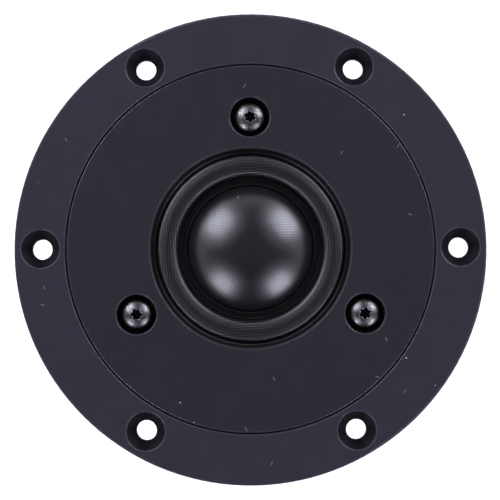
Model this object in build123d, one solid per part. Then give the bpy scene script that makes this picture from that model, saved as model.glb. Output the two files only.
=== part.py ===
"""A flanged 104 mm dome tweeter: a two-piece aluminium front, a soft dome on a wide roll
surround, and an open motor of six magnet slugs with a vented pole and a sealed rear chamber.

Millimetres, +Z out of the dome. The origin is the centre of the mounting ring's back face,
which is the plane that sits on a panel. Each piece is written to parts/NODE.step.
"""

import math
import os

from build123d import *

# ---- driving dimensions -------------------------------------------------------------------

FRONT_Z = 4.6  # front face of the mounting ring and front plate
RING_R = 52.0  # mounting ring, outside
RING_EDGE_FILLET = 0.5
RING_BACK_CHAMFER = 0.4
SEAM_R = 40.66  # middle of the seam between mounting ring and front plate
SEAM_GAP = 0.28
SEAM_CHAMFER = 0.22
LEDGE_Z = 2.1  # top of the ring's inner ledge, which the front plate clamps
LEDGE_R = 34.0
BOSS_R = 33.8  # front plate's boss, inside the ledge
GASKET_INNER_R = 37.0  # foam gasket's groove in the ring's back
GASKET_OUTER_R = 42.8
GASKET_T = 0.8

MOUNT_COUNT = 6
MOUNT_PCD_R = 46.25
MOUNT_HOLE_R = 2.25
MOUNT_BORE_R = 4.2  # counterbore above the 90 degree cone
MOUNT_BORE_DEPTH = 1.2
MOUNT_EDGE = 0.2

OPENING_R = 22.0  # front plate's opening round the surround
OPENING_EDGE = 0.35
SEAT_R = 24.4  # recess behind the front plate that holds the diaphragm ring
SEAT_Z = 2.95
SCREW_PCD_R = 29.0
SCREW_ANGLES = (90, 210, 330)
SCREW_POCKET_R = 4.35
SCREW_POCKET_EDGE = 0.25
SCREW_TURNS = (8, 31, 50)  # how far each screw's socket is turned
SCREW_SEAT_Z = 2.25
SCREW_HOLE_R = 2.0
SCREW_R = 1.75
SCREW_TIP_Z = -3.6
SCREW_HEAD_R = 3.2
SCREW_HEAD_H = 2.6
SCREW_SOCKET = 2.7  # across the socket's lobes

GAP_R = 14.65  # top plate's bore, the outside of the magnetic gap
TOP_PLATE_R = 36.0
TOP_PLATE_Z = -4.0  # its back face; its front is at 0
GAP_HEIGHT = 2.8
SLEEVE_R = 15.4  # inside of the magnet carrier's sleeve
SLEEVE_WALL = 1.2
WEB_R = 30.4  # outside of the magnet carrier's web
WEB_Z = (-11.0, -8.0)
WEB_RELIEF_R = 2.6  # scallops in the web's rim, between the magnets

MAGNET_COUNT = 6
MAGNET_PCD_R = 23.5
MAGNET_R = 6.25
MAGNET_EASE = 0.35
BOTTOM_PLATE_R = 31.0
BOTTOM_PLATE_FRONT_Z = -15.0
BOTTOM_PLATE_BACK_Z = -20.0
PLATE_EDGE = 0.3  # chamfer on the top plate's rim
BOTTOM_PLATE_EDGE = 0.8
SPIGOT_R = 12.0

POLE_TOP_Z = -0.3
POLE_R = 13.35
CAP_R = 13.6  # copper cap over the pole's tip
CAP_TOP_T = 0.25
CAP_BOTTOM_Z = -8.3
POLE_FOOT_R = 14.6
VENT_R = 5.0
VENT_FLARE = 1.2  # at the vent's front
VENT_REAR_R = 7.5
VENT_REAR_L = 4.0  # length of the cone at the vent's rear
FELT_R = 11.6
FELT_T = 1.1
FOAM_Z = (-12.5, -6.5)

COIL_INNER_R = 13.85
FORMER_WALL = 0.12
COIL_WIRE = 0.17
COIL_TURNS = 12
COIL_TOP_Z = -0.38
FORMER_BOTTOM_Z = -2.7

DOME_R = 14.0
DOME_BASE_Z = 1.8
DOME_HEIGHT = 7.1
DOME_WALL = 0.35
SURROUND_WALL = 0.35
LIP_TOP_Z = 2.35  # surround's flat outer lip, glued on the diaphragm ring
CARRIER_R = 20.6  # diaphragm ring, inside
ROLL_CORNERS = ((20.25, 3.72), (18.4, 4.2), (16.55, 3.62))  # outer, crown and inner
ROLL_FOOT_R = (20.85, 15.65)  # where the roll meets the lip and the collar
ROLL_RADII = (0.35, 0.75, 2.6, 1.4, 0.32)  # from the lip's bend in to the collar's bend

CHAMBER_RIM_Z = -20.8
CHAMBER_BACK_Z = -46.0
CHAMBER_R = 28.4
CHAMBER_FLANGE_R = 29.6
CHAMBER_FLANGE_T = 3.0
CHAMBER_WALL = 2.0
CHAMBER_SCREW_PCD_R = 25.6
CHAMBER_SCREW_ANGLES = (30, 150, 270)
CHAMBER_POCKET_R = 3.6
CHAMBER_SCREW_R = 1.5
CHAMBER_SCREW_HEAD_R = 2.75
CHAMBER_SCREW_HEAD_H = 1.9
CHAMBER_SCREW_SOCKET = 2.5
CHAMBER_SCREW_REACH = 3.4  # into the bottom plate
CHAMBER_HOLE_CLEARANCE = 0.2
CHAMBER_BACK_FILLET = 1.6
WOOL_R = 19.6  # damping pad on the chamber's floor
WOOL_T = 11.0
LABEL_R = 17.0
LABEL_SINK = 0.5
LABEL_T = 0.12

TERMINAL_T = 0.8
TERMINAL_X = 3.7  # each terminal's middle, left and right of the centre line
POSITIVE_W = 4.8
NEGATIVE_W = 2.8
LUG_Z = 0.25  # underside of the terminals' inner run
LUG_TIP_Y = -19.0
DROP_Y = -32.3  # where a terminal turns down through its block
TAB_Y = -34.2  # middle of the blade's thickness
JOG_Z = -3.0
TAB_TIP_Z = -14.6
EYE_FROM_TIP = 3.2  # small hole in each blade
BLOCK_W = 16.0
BLOCK_ARM_INSET = 0.6
BLOCK_R = 35.6  # outside of the block, set back from the top plate's rim
BLOCK_FOOT_Z = -6.6
CHANNEL_H = 1.5  # height of the block's arm, under the front plate
NOTCH_Y = -31.4  # floor of the top plate's notch
DOT_X = 3.2  # from the positive terminal's middle to the paint dot
DOT_Y = -33.2
DOT_R = 0.8
DOT_T = 0.15

LEAD_R = 0.15
LEAD_START_Z = 1.3  # where a lead leaves the former
LEAD_START_ANGLE = 66.0  # from the terminals' direction round to there
LEAD_END_Y = -19.5  # where it lies on its lug
LEAD_BOW = 0.35  # slack, sideways

CLEAR = 0.02  # radial gap of a bonded or press-close fit
SLIP = 0.06  # radial gap of a part that is dropped into place
BEYOND = 1.0  # how far a cutter runs past the solid it cuts

# ---- helpers ------------------------------------------------------------------------------


def disc(radius, low, high):
    """A solid cylinder on the Z axis."""
    return Pos(0, 0, low) * extrude(Circle(radius), high - low)


def ring(outer, inner, low, high):
    """A flat-faced ring on the Z axis."""
    return Pos(0, 0, low) * extrude(Circle(outer) - Circle(inner), high - low)


def lathe(*corners):
    """A solid turned about Z from the corners (radius, z) of a closed outline."""
    outline = make_face(Polyline(*corners, close=True))
    return revolve(Plane.XZ * outline, Axis.Z)


def polar(radius, angle, z=0.0):
    """A place on a circle about Z, turned to face outwards."""
    return Rot(0, 0, angle) * Pos(radius, 0, z)


def spread(piece, radius, angles):
    """Copies of a piece on a circle, as a list."""
    return [polar(radius, angle) * piece for angle in angles]


def even_angles(count, first=0.0):
    return [first + 360.0 * i / count for i in range(count)]


def box(x, y, z):
    """A block between the low and high value on each axis."""
    size = [high - low for low, high in (x, y, z)]
    middle = [(low + high) / 2 for low, high in (x, y, z)]
    return Pos(*middle) * Box(*size)


def hexalobe(across, depth):
    """A six-lobed drive socket, its mouth at z = 0 and its floor at -depth."""
    lobe_r = 0.13 * across
    core_r = 0.38 * across
    sketch = Circle(core_r)
    for angle in even_angles(6):
        sketch += polar(across / 2 - lobe_r, angle) * Circle(lobe_r)
    return Pos(0, 0, -depth) * extrude(sketch, depth)


def offset_corners(corners, distance):
    """The corners of an open outline moved sideways by a distance, mitred."""
    moved = []
    for i, (x, z) in enumerate(corners):
        normals = []
        for a, b in ((i - 1, i), (i, i + 1)):
            if a >= 0 and b < len(corners):
                dx, dz = corners[b][0] - corners[a][0], corners[b][1] - corners[a][1]
                length = math.hypot(dx, dz)
                normals.append((-dz / length, dx / length))
        nx, nz = (sum(n[k] for n in normals) / len(normals) for k in (0, 1))
        scale = distance / (nx * nx + nz * nz)
        moved.append((x + nx * scale, z + nz * scale))
    return moved


def skin(corners, radii, wall):
    """A thin shell turned about Z. Its middle line is an open outline with rounded corners."""
    sides = []
    for distance, sign in ((wall / 2, 1), (-wall / 2, -1)):
        moved = offset_corners(corners, distance)
        rounded = []
        for i, radius in enumerate(radii):
            (ax, az), (bx, bz), (cx, cz) = corners[i : i + 3]
            turn = (bx - ax) * (cz - bz) - (bz - az) * (cx - bx)
            rounded.append(radius - sign * math.copysign(wall / 2, turn))
        sides.append(FilletPolyline(*moved, radius=rounded))
    left, right = sides
    ends = [Line(left @ 0, right @ 0), Line(left @ 1, right @ 1)]
    face = make_face(left.edges() + right.edges() + ends)
    return revolve(Plane.XZ * face, Axis.Z)


def export(node, *solids):
    """Writes one node. Identical pieces of a group go into one file as separate solids."""
    found = [solid for piece in solids for solid in piece.solids()]
    shape = found[0] if len(found) == 1 else Compound(children=found)
    export_step(shape, f"parts/{node}.step")


# ---- front: mounting ring, front plate and their screws -------------------------------------


def mount_hole():
    """What a countersunk mounting hole takes out of the ring."""
    cone_top = FRONT_Z - MOUNT_BORE_DEPTH
    cone_bottom = cone_top - (MOUNT_BORE_R - MOUNT_HOLE_R)
    return lathe(
        (0, -BEYOND),
        (MOUNT_HOLE_R, -BEYOND),
        (MOUNT_HOLE_R, cone_bottom),
        (MOUNT_BORE_R, cone_top),
        (MOUNT_BORE_R, FRONT_Z - MOUNT_EDGE),
        (MOUNT_BORE_R + 2 * MOUNT_EDGE, FRONT_Z + MOUNT_EDGE),
        (0, FRONT_Z + MOUNT_EDGE),
    )


def mounting_ring():
    """The outer ring: six countersunk holes, and a ledge that the front plate clamps."""
    seat_r = SEAM_R + SEAM_GAP / 2
    body = lathe(
        (LEDGE_R, 0),
        (RING_R - RING_BACK_CHAMFER, 0),
        (RING_R, RING_BACK_CHAMFER),
        (RING_R, FRONT_Z),
        (seat_r + SEAM_CHAMFER, FRONT_Z),
        (seat_r, FRONT_Z - SEAM_CHAMFER),
        (seat_r, LEDGE_Z),
        (LEDGE_R, LEDGE_Z),
    )
    rim = body.edges().filter_by(GeomType.CIRCLE).group_by(SortBy.RADIUS)[-1].sort_by(Axis.Z)[-1]
    body = Rot(0, 0, 180 / MOUNT_COUNT) * fillet(rim, RING_EDGE_FILLET)  # seam between holes
    body -= ring(GASKET_OUTER_R, GASKET_INNER_R, -BEYOND, GASKET_T)
    for hole in spread(mount_hole(), MOUNT_PCD_R, even_angles(MOUNT_COUNT)):
        body -= hole
    return body


def front_plate():
    """The inner disc: screw pockets, the opening round the surround, and a boss behind."""
    rim_r = SEAM_R - SEAM_GAP / 2
    body = lathe(
        (SEAT_R, 0),
        (BOSS_R, 0),
        (BOSS_R, LEDGE_Z),
        (rim_r, LEDGE_Z),
        (rim_r, FRONT_Z - SEAM_CHAMFER),
        (rim_r - SEAM_CHAMFER, FRONT_Z),
        (OPENING_R + OPENING_EDGE, FRONT_Z),
        (OPENING_R, FRONT_Z - OPENING_EDGE),
        (OPENING_R, SEAT_Z),
        (SEAT_R, SEAT_Z),
    )
    pocket = lathe(
        (0, SCREW_SEAT_Z),
        (SCREW_POCKET_R, SCREW_SEAT_Z),
        (SCREW_POCKET_R, FRONT_Z - SCREW_POCKET_EDGE),
        (SCREW_POCKET_R + 2 * SCREW_POCKET_EDGE, FRONT_Z + SCREW_POCKET_EDGE),
        (0, FRONT_Z + SCREW_POCKET_EDGE),
    )
    pocket += disc(SCREW_HOLE_R, -BEYOND, SCREW_SEAT_Z)
    for cut in spread(pocket, SCREW_PCD_R, SCREW_ANGLES):
        body -= cut
    return body - terminal_channel(SLIP)


def cap_screw(shank_r, head_r, head_h, seat_z, tip_z, socket):
    """A pan-head screw on the Z axis: a spherical crown with a six-lobed socket."""
    flank_z = seat_z + head_h / 2
    top_z = seat_z + head_h
    crown_h = top_z - flank_z
    ball_r = (head_r**2 + crown_h**2) / (2 * crown_h)
    middle_r = 0.6 * head_r
    middle_z = top_z - ball_r + math.sqrt(ball_r**2 - middle_r**2)
    socket_depth = 0.62 * head_h
    point = 0.4
    outline = [
        Line((0, seat_z), (head_r, seat_z)),
        Line((head_r, seat_z), (head_r, flank_z)),
        ThreePointArc((head_r, flank_z), (middle_r, middle_z), (0, top_z)),
        Line((0, top_z), (0, seat_z)),
    ]
    head = revolve(Plane.XZ * make_face(outline), Axis.Z)
    shank = lathe(
        (0, tip_z), (shank_r - point, tip_z), (shank_r, tip_z + point), (shank_r, seat_z), (0, seat_z)
    )
    return head + shank - Pos(0, 0, top_z) * hexalobe(socket, socket_depth)


def front_screws():
    """The three screws that hold the front plate to the top plate."""
    screw = cap_screw(
        SCREW_R, SCREW_HEAD_R, SCREW_HEAD_H, SCREW_SEAT_Z, SCREW_TIP_Z, SCREW_SOCKET
    )
    places = zip(SCREW_ANGLES, SCREW_TURNS)
    return [polar(SCREW_PCD_R, angle) * Rot(0, 0, turn) * screw for angle, turn in places]


def flange_gasket():
    """Foam ring, flush in the mounting ring's back."""
    return ring(GASKET_OUTER_R - 2 * SLIP, GASKET_INNER_R + 2 * SLIP, 0, GASKET_T)


def front_gasket():
    """Foam between the front plate and the surround's lip."""
    return ring(SEAT_R - SLIP, OPENING_R + 3 * SLIP, LIP_TOP_Z, SEAT_Z)


# ---- terminals ------------------------------------------------------------------------------


def terminal(x, width):
    """One stamped terminal: a flat lug inside, a step down, and a blade behind the top plate."""
    half = TERMINAL_T / 2
    across = (x - width / 2, x + width / 2)
    strip = box(across, (DROP_Y - half, LUG_TIP_Y), (LUG_Z, LUG_Z + TERMINAL_T))
    strip += box(across, (DROP_Y - half, DROP_Y + half), (JOG_Z, LUG_Z + TERMINAL_T))
    strip += box(across, (TAB_Y - half, DROP_Y + half), (JOG_Z - half, JOG_Z + half))
    blade = box(across, (TAB_Y - half, TAB_Y + half), (TAB_TIP_Z, JOG_Z + half))
    tip = blade.edges().filter_by(Axis.Y).group_by(Axis.Z)[0]
    blade = chamfer(tip, 0.22 * width)
    eye_r = 0.3 + 0.1 * width
    eye = Pos(x, TAB_Y, TAB_TIP_Z + EYE_FROM_TIP) * Rot(90, 0, 0) * Cylinder(eye_r, 2)
    return strip + (blade - eye)


def terminal_positive():
    return terminal(-TERMINAL_X, POSITIVE_W)


def terminal_negative():
    return terminal(TERMINAL_X, NEGATIVE_W)


def terminal_channel(clearance):
    """Room in the front plate's back for the terminal block's arm."""
    half = BLOCK_W / 2 - BLOCK_ARM_INSET + clearance
    length = (-BOSS_R - BEYOND, -SEAT_R + BEYOND)
    return box((-half, half), length, (-BEYOND, CHANNEL_H + clearance))


def terminal_block():
    """Moulded insulator: an arm under the front plate and a body in the top plate's notch."""
    half = BLOCK_W / 2
    arm_half = half - BLOCK_ARM_INSET
    inner_r = SEAT_R + SLIP
    arm = box((-arm_half, arm_half), (-BOSS_R, -inner_r + BEYOND), (0, CHANNEL_H))
    arm = arm & ring(BOSS_R - SLIP, inner_r, 0, CHANNEL_H)
    body = box((-half, half), (-TOP_PLATE_R, NOTCH_Y - CLEAR), (BLOCK_FOOT_Z, 0))
    body = body & disc(BLOCK_R, BLOCK_FOOT_Z, 0)
    return arm + body - terminal_positive() - terminal_negative()


def polarity_dot():
    """Paint dot on the block's foot, beside the wider, positive blade."""
    return Pos(-TERMINAL_X - DOT_X, DOT_Y) * disc(DOT_R, BLOCK_FOOT_Z - DOT_T, BLOCK_FOOT_Z)


# ---- diaphragm ------------------------------------------------------------------------------


def dome():
    """A spherical cap of constant wall on a short collar that plugs onto the former."""
    outer_r = (DOME_R**2 + DOME_HEIGHT**2) / (2 * DOME_HEIGHT)
    centre_z = DOME_BASE_Z + DOME_HEIGHT - outer_r
    inner_r = outer_r - DOME_WALL
    shell = Pos(0, 0, centre_z) * (Sphere(outer_r) - Sphere(inner_r))
    return shell & disc(DOME_R, DOME_BASE_Z, DOME_BASE_Z + DOME_HEIGHT + BEYOND)


def surround():
    """Wide textile roll from the diaphragm ring's lip down to the collar round the dome."""
    half = SURROUND_WALL / 2
    lip_z = LIP_TOP_Z - half
    collar_z = DOME_BASE_Z + half
    outer_foot_r, inner_foot_r = ROLL_FOOT_R
    corners = [
        (SEAT_R - SLIP, lip_z),
        (outer_foot_r, lip_z),
        *ROLL_CORNERS,
        (inner_foot_r, collar_z),
        (DOME_R + CLEAR, collar_z),
    ]
    return skin(corners, ROLL_RADII, SURROUND_WALL)


def coil_former():
    """Foil tube that the dome, the surround's collar and the winding are bonded to."""
    outer = COIL_INNER_R + FORMER_WALL
    return ring(outer, COIL_INNER_R, FORMER_BOTTOM_Z, DOME_BASE_Z)


def voice_coil():
    """Two layers of bonded wire on the former, as one ring."""
    inner = COIL_INNER_R + FORMER_WALL
    outer = inner + 2 * COIL_WIRE
    low = COIL_TOP_Z - COIL_TURNS * COIL_WIRE
    return ring(outer, inner, low, COIL_TOP_Z)


def coil_lead(side):
    """A slack lead from the former's wall, under the surround, to the top of its lug."""
    start_r = COIL_INNER_R + FORMER_WALL + LEAD_R + CLEAR
    start_a = math.radians(-90 + side * LEAD_START_ANGLE)
    end_x = side * TERMINAL_X
    end_z = LUG_Z + TERMINAL_T + LEAD_R
    middle_r = (start_r + math.hypot(end_x, LEAD_END_Y)) / 2 + LEAD_BOW
    middle_a = (start_a + math.atan2(LEAD_END_Y, end_x)) / 2
    start = (start_r * math.cos(start_a), start_r * math.sin(start_a), LEAD_START_Z)
    middle_z = (LEAD_START_Z + end_z) / 2
    middle = (middle_r * math.cos(middle_a), middle_r * math.sin(middle_a), middle_z)
    path = ThreePointArc(start, middle, (end_x, LEAD_END_Y, end_z))
    return sweep(Plane(origin=path @ 0, z_dir=path % 0) * Circle(LEAD_R), path)


def diaphragm_ring():
    """Moulded ring that carries the surround and the inner ends of the terminals."""
    ease = 0.5
    body = lathe(
        (CARRIER_R, ease),
        (CARRIER_R + ease, 0),
        (SEAT_R - SLIP, 0),
        (SEAT_R - SLIP, LIP_TOP_Z - SURROUND_WALL),
        (CARRIER_R, LIP_TOP_Z - SURROUND_WALL),
    )
    return body - terminal_positive() - terminal_negative()


# ---- motor ----------------------------------------------------------------------------------


def top_plate():
    """Steel plate round the magnetic gap, tapped for the front screws, notched for the block."""
    body = lathe(
        (GAP_R, 0),
        (TOP_PLATE_R - PLATE_EDGE, 0),
        (TOP_PLATE_R, -PLATE_EDGE),
        (TOP_PLATE_R, TOP_PLATE_Z + PLATE_EDGE),
        (TOP_PLATE_R - PLATE_EDGE, TOP_PLATE_Z),
        (SLEEVE_R, TOP_PLATE_Z),
        (SLEEVE_R, -GAP_HEIGHT - PLATE_EDGE),
        (GAP_R, -GAP_HEIGHT),
    )
    through = (TOP_PLATE_Z - BEYOND, BEYOND)
    for hole in spread(disc(SCREW_R + CLEAR, *through), SCREW_PCD_R, SCREW_ANGLES):
        body -= hole
    half = BLOCK_W / 2 + SLIP
    return body - box((-half, half), (-TOP_PLATE_R - BEYOND, NOTCH_Y), through)


def magnet(angle):
    """A nickel-plated slug with eased edges."""
    ease = MAGNET_EASE
    low, high = BOTTOM_PLATE_FRONT_Z, TOP_PLATE_Z
    slug = lathe(
        (0, low),
        (MAGNET_R - ease, low),
        (MAGNET_R, low + ease),
        (MAGNET_R, high - ease),
        (MAGNET_R - ease, high),
        (0, high),
    )
    return polar(MAGNET_PCD_R, angle) * slug


def magnet_carrier():
    """Moulded spider: a sleeve that seals the coil space and a web that spaces the slugs."""
    low, high = BOTTOM_PLATE_FRONT_Z, TOP_PLATE_Z
    body = ring(SLEEVE_R + SLEEVE_WALL, SLEEVE_R, low, high)
    body += ring(WEB_R, SLEEVE_R + SLEEVE_WALL / 2, *WEB_Z)
    pocket = disc(MAGNET_R + SLIP, low - BEYOND, high + BEYOND)
    for cut in spread(pocket, MAGNET_PCD_R, even_angles(MAGNET_COUNT)):
        body -= cut
    relief = disc(WEB_RELIEF_R, low, high)
    for cut in spread(relief, WEB_R, even_angles(MAGNET_COUNT, 180 / MAGNET_COUNT)):
        body -= cut
    return body


def pole_piece():
    """Turned steel pole with a flared vent and a spigot pressed into the bottom plate."""
    undercut = CAP_BOTTOM_Z - 0.7
    shoulder = undercut - (POLE_FOOT_R - POLE_R)
    return lathe(
        (VENT_R, POLE_TOP_Z - VENT_FLARE),
        (VENT_R + VENT_FLARE, POLE_TOP_Z),
        (POLE_R, POLE_TOP_Z),
        (POLE_R, undercut),
        (POLE_FOOT_R, shoulder),
        (POLE_FOOT_R, BOTTOM_PLATE_FRONT_Z),
        (SPIGOT_R - CLEAR, BOTTOM_PLATE_FRONT_Z),
        (SPIGOT_R - CLEAR, BOTTOM_PLATE_BACK_Z),
        (VENT_REAR_R, BOTTOM_PLATE_BACK_Z),
        (VENT_R, BOTTOM_PLATE_BACK_Z + VENT_REAR_L),
    )


def pole_cap():
    """Drawn copper cap over the pole's tip."""
    inner_r = VENT_R + VENT_FLARE + 0.2
    top_z = POLE_TOP_Z + CAP_TOP_T
    edge = 0.1
    return lathe(
        (inner_r, POLE_TOP_Z),
        (POLE_R, POLE_TOP_Z),
        (POLE_R, CAP_BOTTOM_Z),
        (CAP_R, CAP_BOTTOM_Z),
        (CAP_R, top_z - edge),
        (CAP_R - edge, top_z),
        (inner_r, top_z),
    )


def pole_felt():
    """Felt washer under the dome, bonded on the pole cap."""
    low = POLE_TOP_Z + CAP_TOP_T
    return ring(FELT_R, VENT_R + VENT_FLARE + 0.4, low, low + FELT_T)


def vent_foam():
    """Open-cell plug in the pole's vent."""
    return disc(VENT_R - CLEAR, *FOAM_Z)


def bottom_plate():
    """Steel plate behind the magnets, bored for the pole and tapped for the chamber's screws."""
    edge = BOTTOM_PLATE_EDGE
    body = lathe(
        (SPIGOT_R, BOTTOM_PLATE_FRONT_Z),
        (BOTTOM_PLATE_R - edge, BOTTOM_PLATE_FRONT_Z),
        (BOTTOM_PLATE_R, BOTTOM_PLATE_FRONT_Z - edge),
        (BOTTOM_PLATE_R, BOTTOM_PLATE_BACK_Z + edge),
        (BOTTOM_PLATE_R - edge, BOTTOM_PLATE_BACK_Z),
        (SPIGOT_R, BOTTOM_PLATE_BACK_Z),
    )
    tap_z = BOTTOM_PLATE_BACK_Z + CHAMBER_SCREW_REACH + 0.6
    tapped = disc(CHAMBER_SCREW_R + CLEAR, BOTTOM_PLATE_BACK_Z - BEYOND, tap_z)
    for hole in spread(tapped, CHAMBER_SCREW_PCD_R, CHAMBER_SCREW_ANGLES):
        body -= hole
    return body


# ---- rear chamber ---------------------------------------------------------------------------


def chamber_plan(outer, pocket):
    """A circle with a bay at each screw."""
    plan = Circle(outer)
    for angle in CHAMBER_SCREW_ANGLES:
        bay = Circle(pocket) + Pos(pocket, 0) * Rectangle(2 * pocket, 2 * pocket)
        plan -= polar(CHAMBER_SCREW_PCD_R, angle) * bay
    return plan


def chamber_inside():
    """The chamber's inner outline, one wall inside the outer one."""
    return chamber_plan(CHAMBER_R - CHAMBER_WALL, CHAMBER_POCKET_R + CHAMBER_WALL)


def rear_chamber():
    """Moulded cup with a screw flange, three screw bays and a sunk panel on its back."""
    depth = CHAMBER_RIM_Z - CHAMBER_BACK_Z
    outside = Pos(0, 0, CHAMBER_BACK_Z) * extrude(chamber_plan(CHAMBER_R, CHAMBER_POCKET_R), depth)
    outside = fillet(outside.faces().sort_by(Axis.Z)[0].edges(), CHAMBER_BACK_FILLET)
    flange_z = CHAMBER_RIM_Z - CHAMBER_FLANGE_T
    flange = ring(CHAMBER_FLANGE_R, CHAMBER_R - 2 * CHAMBER_POCKET_R, flange_z, CHAMBER_RIM_Z)
    inside = Pos(0, 0, CHAMBER_BACK_Z + CHAMBER_WALL) * extrude(chamber_inside(), depth)
    cup = outside + flange - inside
    hole = disc(CHAMBER_SCREW_R + CHAMBER_HOLE_CLEARANCE, CHAMBER_BACK_Z, 0)
    for cut in spread(hole, CHAMBER_SCREW_PCD_R, CHAMBER_SCREW_ANGLES):
        cup -= cut
    return cup - disc(LABEL_R, CHAMBER_BACK_Z - BEYOND, CHAMBER_BACK_Z + LABEL_SINK)


def rear_label():
    """Blank foil disc in the sunk panel."""
    face_z = CHAMBER_BACK_Z + LABEL_SINK
    return disc(LABEL_R - LABEL_SINK, face_z - LABEL_T, face_z)


def chamber_gasket():
    """Foam between the chamber's rim and the bottom plate."""
    plan = Circle(CHAMBER_FLANGE_R) - chamber_inside()
    for angle in CHAMBER_SCREW_ANGLES:
        hole = Circle(CHAMBER_SCREW_R + CHAMBER_HOLE_CLEARANCE)
        plan -= polar(CHAMBER_SCREW_PCD_R, angle) * hole
    return Pos(0, 0, CHAMBER_RIM_Z) * extrude(plan, BOTTOM_PLATE_BACK_Z - CHAMBER_RIM_Z)


def chamber_wool():
    """Damping pad on the cup's floor."""
    floor_z = CHAMBER_BACK_Z + CHAMBER_WALL
    return disc(WOOL_R, floor_z, floor_z + WOOL_T)


def chamber_screws():
    """The chamber's screws, heads to the back and shanks up into the bottom plate."""
    head_z = CHAMBER_RIM_Z - CHAMBER_FLANGE_T
    length = BOTTOM_PLATE_BACK_Z + CHAMBER_SCREW_REACH - head_z
    screw = cap_screw(
        CHAMBER_SCREW_R,
        CHAMBER_SCREW_HEAD_R,
        CHAMBER_SCREW_HEAD_H,
        0,
        -length,
        CHAMBER_SCREW_SOCKET,
    )
    screw = Pos(0, 0, head_z) * Rot(180, 0, 0) * screw
    return spread(screw, CHAMBER_SCREW_PCD_R, CHAMBER_SCREW_ANGLES)


# ---- every node -----------------------------------------------------------------------------

os.makedirs("parts", exist_ok=True)

for make in (
    mounting_ring,
    front_plate,
    flange_gasket,
    front_gasket,
    terminal_positive,
    terminal_negative,
    terminal_block,
    polarity_dot,
    dome,
    surround,
    coil_former,
    voice_coil,
    diaphragm_ring,
    top_plate,
    magnet_carrier,
    pole_piece,
    pole_cap,
    pole_felt,
    vent_foam,
    bottom_plate,
    rear_chamber,
    rear_label,
    chamber_gasket,
    chamber_wool,
):
    export(make.__name__, make())

for number, angle in enumerate(even_angles(MAGNET_COUNT), start=1):
    export(f"magnet_{number}", magnet(angle))

export("front_screws", *front_screws())
export("chamber_screws", *chamber_screws())
export("coil_lead_positive", coil_lead(-1))
export("coil_lead_negative", coil_lead(1))
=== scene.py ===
"""Looks for the flanged dome tweeter: materials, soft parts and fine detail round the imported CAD.

Metres, in the CAD's frame: +Z out of the dome, the mounting ring's back face at z = 0.
"""

import math

import bmesh
import bpy
import numpy as np
from mathutils import Matrix, Vector
from mathutils.bvhtree import BVHTree


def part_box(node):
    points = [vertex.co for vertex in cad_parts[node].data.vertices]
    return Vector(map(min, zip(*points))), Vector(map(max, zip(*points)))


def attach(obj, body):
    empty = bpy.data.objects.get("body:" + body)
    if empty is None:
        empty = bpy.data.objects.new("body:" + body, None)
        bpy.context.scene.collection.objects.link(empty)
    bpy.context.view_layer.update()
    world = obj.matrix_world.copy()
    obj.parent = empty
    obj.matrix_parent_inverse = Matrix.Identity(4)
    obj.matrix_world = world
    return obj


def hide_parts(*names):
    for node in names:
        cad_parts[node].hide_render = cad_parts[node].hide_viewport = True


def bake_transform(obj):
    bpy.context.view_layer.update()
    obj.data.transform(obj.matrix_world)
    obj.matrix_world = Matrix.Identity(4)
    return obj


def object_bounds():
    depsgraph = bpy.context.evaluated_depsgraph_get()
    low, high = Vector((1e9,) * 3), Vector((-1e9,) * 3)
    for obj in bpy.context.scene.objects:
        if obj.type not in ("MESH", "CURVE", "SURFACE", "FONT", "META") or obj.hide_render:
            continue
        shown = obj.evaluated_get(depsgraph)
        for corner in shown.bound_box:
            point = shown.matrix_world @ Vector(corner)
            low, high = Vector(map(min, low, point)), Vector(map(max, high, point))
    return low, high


MM = 0.001

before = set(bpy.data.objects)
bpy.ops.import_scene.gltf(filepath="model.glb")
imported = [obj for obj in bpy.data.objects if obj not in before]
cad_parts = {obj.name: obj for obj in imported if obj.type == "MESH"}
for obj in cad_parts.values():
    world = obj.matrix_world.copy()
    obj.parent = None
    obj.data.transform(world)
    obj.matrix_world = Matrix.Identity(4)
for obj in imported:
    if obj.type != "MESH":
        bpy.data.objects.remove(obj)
cad_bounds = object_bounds()

# ---- driving values -------------------------------------------------------------------------

# Camera: above the dome, a little towards the terminals' side
VIEW_DISTANCE = 290 * MM  # from the front face
VIEW_TILT = math.radians(2.67)
VIEW_ROLL = math.radians(-0.3)
VIEW_AIM = Vector((-0.11 * MM, -0.47 * MM, 0))  # from the front face's centre
LENS_MM = 94.97
SENSOR_MM = 36

# Four soft boxes low round the part: angle about Z, angle off the axis, watts, size
SOFT_BOXES = (
    (38, 67, 9.5, 0.56),
    (139, 63, 9.6, 0.56),
    (-49, 70, 6.4, 0.44),
    (-130, 68, 5.9, 0.42),
)
SOFT_BOX_COLOUR = (0.95, 0.945, 1.13)
SOFT_BOX_DISTANCE = 0.9
FLOOR_R = 4.0
FLOOR_GLOW = 0.25
# Surroundings: height of the direction (0 level, 1 overhead), brightness
SURROUNDINGS = (
    (0.0, 0.60),
    (0.12, 1.00),
    (0.27, 1.00),
    (0.38, 0.80),
    (0.49, 0.03),
    (0.90, 0.12),
    (1.0, 0.22),
)
DARK_SIDE = (-0.75, -0.25)  # they fade out towards -Y, between these directions
DARK_SIDE_SHARE = 0.05  # of the brightness, left there

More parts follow.
